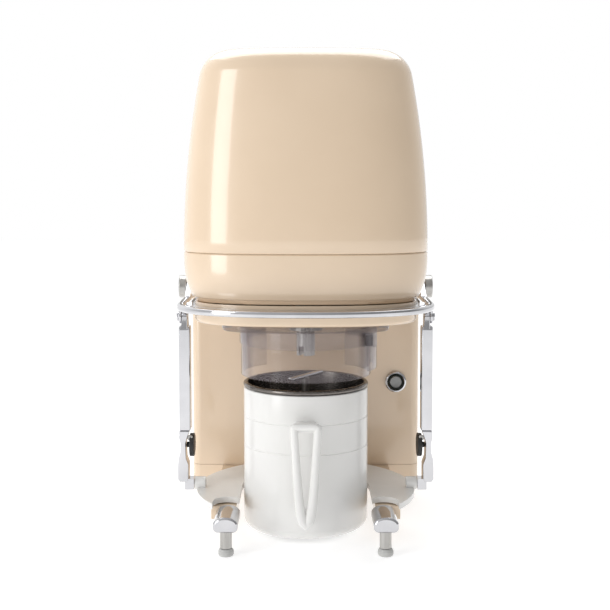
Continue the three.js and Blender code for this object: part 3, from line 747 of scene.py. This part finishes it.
def guard():
    """A thin pane, a proud band above it, a skirt on the right, a magnet boss and a sliding flange."""
    low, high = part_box("guard_shield")
    magnet = middle("guard_magnet")
    band_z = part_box("guard_magnet")[0].z - 0.0005
    flange_z = high.z - FLANGE_THICKNESS
    open_angle = math.degrees(math.acos(BACK_OPENING / GUARD_RADIUS))
    turn = (180 - open_angle, 360 + open_angle)
    pane = (GUARD_RADIUS - GUARD_WALL, GUARD_RADIUS)
    band = [GUARD_RADIUS + proud for proud in BAND_FACES]
    skirt = (SKIRT_RADIUS - GUARD_WALL, SKIRT_RADIUS)
    flat = BOSS_RADIUS - BOSS_ROUND
    boss = [(BOSS_HOLE, band_z), (flat, band_z)]
    boss += arc(flat, band_z + BOSS_ROUND, BOSS_ROUND, 270, 360, 3)[1:]
    boss += [(BOSS_RADIUS, flange_z), (BOSS_HOLE, flange_z)]
    bm = bmesh.new()
    merge(bm, sector_wall(pane, (low.z, flange_z), turn, 0.0008, 120))
    merge(bm, sector_wall(band, (band_z, flange_z), turn, 0.0005, 120))
    merge(bm, sector_wall(skirt, (SKIRT_BOTTOM_Z, flange_z), SKIRT_TURN, 0.0007, 40))
    merge(bm, lathe(bmesh.new(), boss, 48, "Z", (magnet.x, magnet.y, 0)))
    merge(bm, flange_plate(low, high, flange_z))
    new_piece("guard_shield_finished", bm, CLEAR, "guard", ["guard_shield"], 40)


guard()


# ---- CAD shapes that only need rounded edges ----
FINE, MEDIUM, BROAD = 0.0004, 0.0010, 0.0018
EDGES = {
    "column_shell": BROAD, "base_frame": BROAD, "rear_cover": FINE, "chin_trim": FINE, "lift_rail": FINE,
    "tray_plate": BROAD, "tray_carriage": MEDIUM, "mug_cradle": FINE, "power_inlet": FINE,
    "rocker_key": FINE, "beater_frame": MEDIUM, "beater_cross_bar": FINE, "drive_dog": FINE,
}
SIDE_EDGES = {
    "link_bar": MEDIUM, "link_foot": MEDIUM, "toe": BROAD, "link_spacer": MEDIUM, "pivot_pin": MEDIUM,
    "link_pin": FINE, "toe_post": FINE, "front_pad": FINE, "rear_foot": MEDIUM, "guard_rail": FINE,
    "tray_stud": FINE,
}
for node_name, width in EDGES.items():
    refine(node_name, width)
for side in ("left", "right"):
    for node_name, width in SIDE_EDGES.items():
        refine(f"{side}_{node_name}", width)


# ---- Small fasteners ----
# Points from the middle of a screw's face to its rim and its foot, as shares of its radius and its height
SCREW_PROFILE = ((0, 0.35), (0.42, 0.35), (0.46, 1.0), (0.75, 0.88), (1.0, 0.3), (1.0, 0.0), (0, 0.0))
COVER_SCREW = {"radius": 0.0035, "height": 0.0011}
LINK_SCREW = {"radius": 0.003, "height": 0.0012}
COVER_SCREW_MARGIN = 0.008


def screw(name, body, place, outward, radius, height):
    """A domed screw head with a round recess, on a face at place. It points outward, 1 or -1, along Y."""
    x, y, z = place
    profile = [(radius * r, y + outward * height * h) for r, h in SCREW_PROFILE]
    bm = lathe(bmesh.new(), profile, 30, "Y", (x, 0, z))
    new_piece(name, bm, SATIN, body, (), 30)


def fasteners():
    low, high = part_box("rear_cover")
    margin = COVER_SCREW_MARGIN
    for column, x in enumerate((low.x + margin, high.x - margin)):
        for row, z in enumerate((low.z + margin, high.z - margin)):
            screw(f"rear_screw_{column}{row}", "housing", (x, high.y - 0.0012, z), 1, **COVER_SCREW)
    for label in ("left", "right"):
        low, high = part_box(label + "_link_foot")
        place = (middle(label + "_link_spacer").x, low.y + 0.0015, high.z - 0.007)
        screw(label + "_link_screw", label + "_link", place, -1, **LINK_SCREW)


fasteners()


# ---- Floor, light and background ----
FLOOR_HALF = 6.0
SKY = {"back": 0.45, "left": 0.66, "right": 0.26, "top": 0.12}
LAMP_TARGET = (0, 0, 0.28)
LAMPS = {
    "key": {"place": (-1.15, -0.95, 0.62), "size": (0.50, 1.3), "power": 8},
    "top": {"place": (0.0, 0.40, 1.25), "size": (1.3, 0.8), "power": 9},
}


def floor():
    bm = bmesh.new()
    corners = [(x * FLOOR_HALF, y * FLOOR_HALF, 0) for x, y in ((-1, -1), (1, -1), (1, 1), (-1, 1))]
    bm.faces.new([bm.verts.new(corner) for corner in corners])
    mesh = bpy.data.meshes.new("floor")
    bm.to_mesh(mesh)
    bm.free()
    piece = bpy.data.objects.new("floor", mesh)
    bpy.context.scene.collection.objects.link(piece)
    m = Nodes("floor")
    m.tint(m.noise(6, 3), (0.60, 0.60, 0.60), (0.62, 0.62, 0.62))
    m.set(Roughness=0.8, Emission_Color=(1, 1, 1, 1), Emission_Strength=0.60, Specular_IOR_Level=0.0)
    dress(piece, m.material)


def area_light(name, place, size, power):
    data = bpy.data.lights.new(name, "AREA")
    data.shape = "RECTANGLE"
    data.size, data.size_y = size
    data.energy = power
    light = bpy.data.objects.new(name, data)
    light.location = place
    light.rotation_euler = (Vector(LAMP_TARGET) - Vector(place)).to_track_quat("-Z", "Y").to_euler()
    bpy.context.scene.collection.objects.link(light)


def paint_sky(tree):
    """White to the camera. As light it is brightest from the back and the left."""
    def add(kind):
        return tree.nodes.new(kind)

    place = add("ShaderNodeTexCoord")
    parts = add("ShaderNodeSeparateXYZ")
    tree.links.new(place.outputs["Generated"], parts.inputs["Vector"])

    def ramp(output, start, end, low, high):
        scale = add("ShaderNodeMapRange")
        scale.interpolation_type = "SMOOTHSTEP"
        for key, value in (("From Min", start), ("From Max", end), ("To Min", low), ("To Max", high)):
            scale.inputs[key].default_value = value
        tree.links.new(parts.outputs[output], scale.inputs["Value"])
        return scale.outputs["Result"]

    total = ramp("Y", -0.2, 0.7, 0.0, SKY["back"])
    sideways = ramp("X", 0.7, -0.9, SKY["right"], SKY["left"])
    upward = ramp("Z", 0.0, 0.9, 0.0, SKY["top"])
    for extra in (sideways, upward):
        join = add("ShaderNodeMath")
        join.operation = "ADD"
        tree.links.new(total, join.inputs[0])
        tree.links.new(extra, join.inputs[1])
        total = join.outputs["Value"]
    light = tree.nodes["Background"]
    light.inputs["Color"].default_value = (1, 1, 1, 1)
    tree.links.new(total, light.inputs["Strength"])
    seen = add("ShaderNodeBackground")
    seen.inputs["Color"].default_value = (1, 1, 1, 1)
    mix = add("ShaderNodeMixShader")
    path = add("ShaderNodeLightPath")
    tree.links.new(path.outputs["Is Camera Ray"], mix.inputs["Fac"])
    tree.links.new(light.outputs["Background"], mix.inputs[1])
    tree.links.new(seen.outputs["Background"], mix.inputs[2])
    tree.links.new(mix.outputs["Shader"], tree.nodes["World Output"].inputs["Surface"])


def studio():
    for name, lamp in LAMPS.items():
        area_light(name, **lamp)
    world = bpy.data.worlds.new("studio")
    world.use_nodes = True
    paint_sky(world.node_tree)
    bpy.context.scene.world = world
    bpy.context.scene.view_settings.view_transform = "Standard"


floor()
studio()
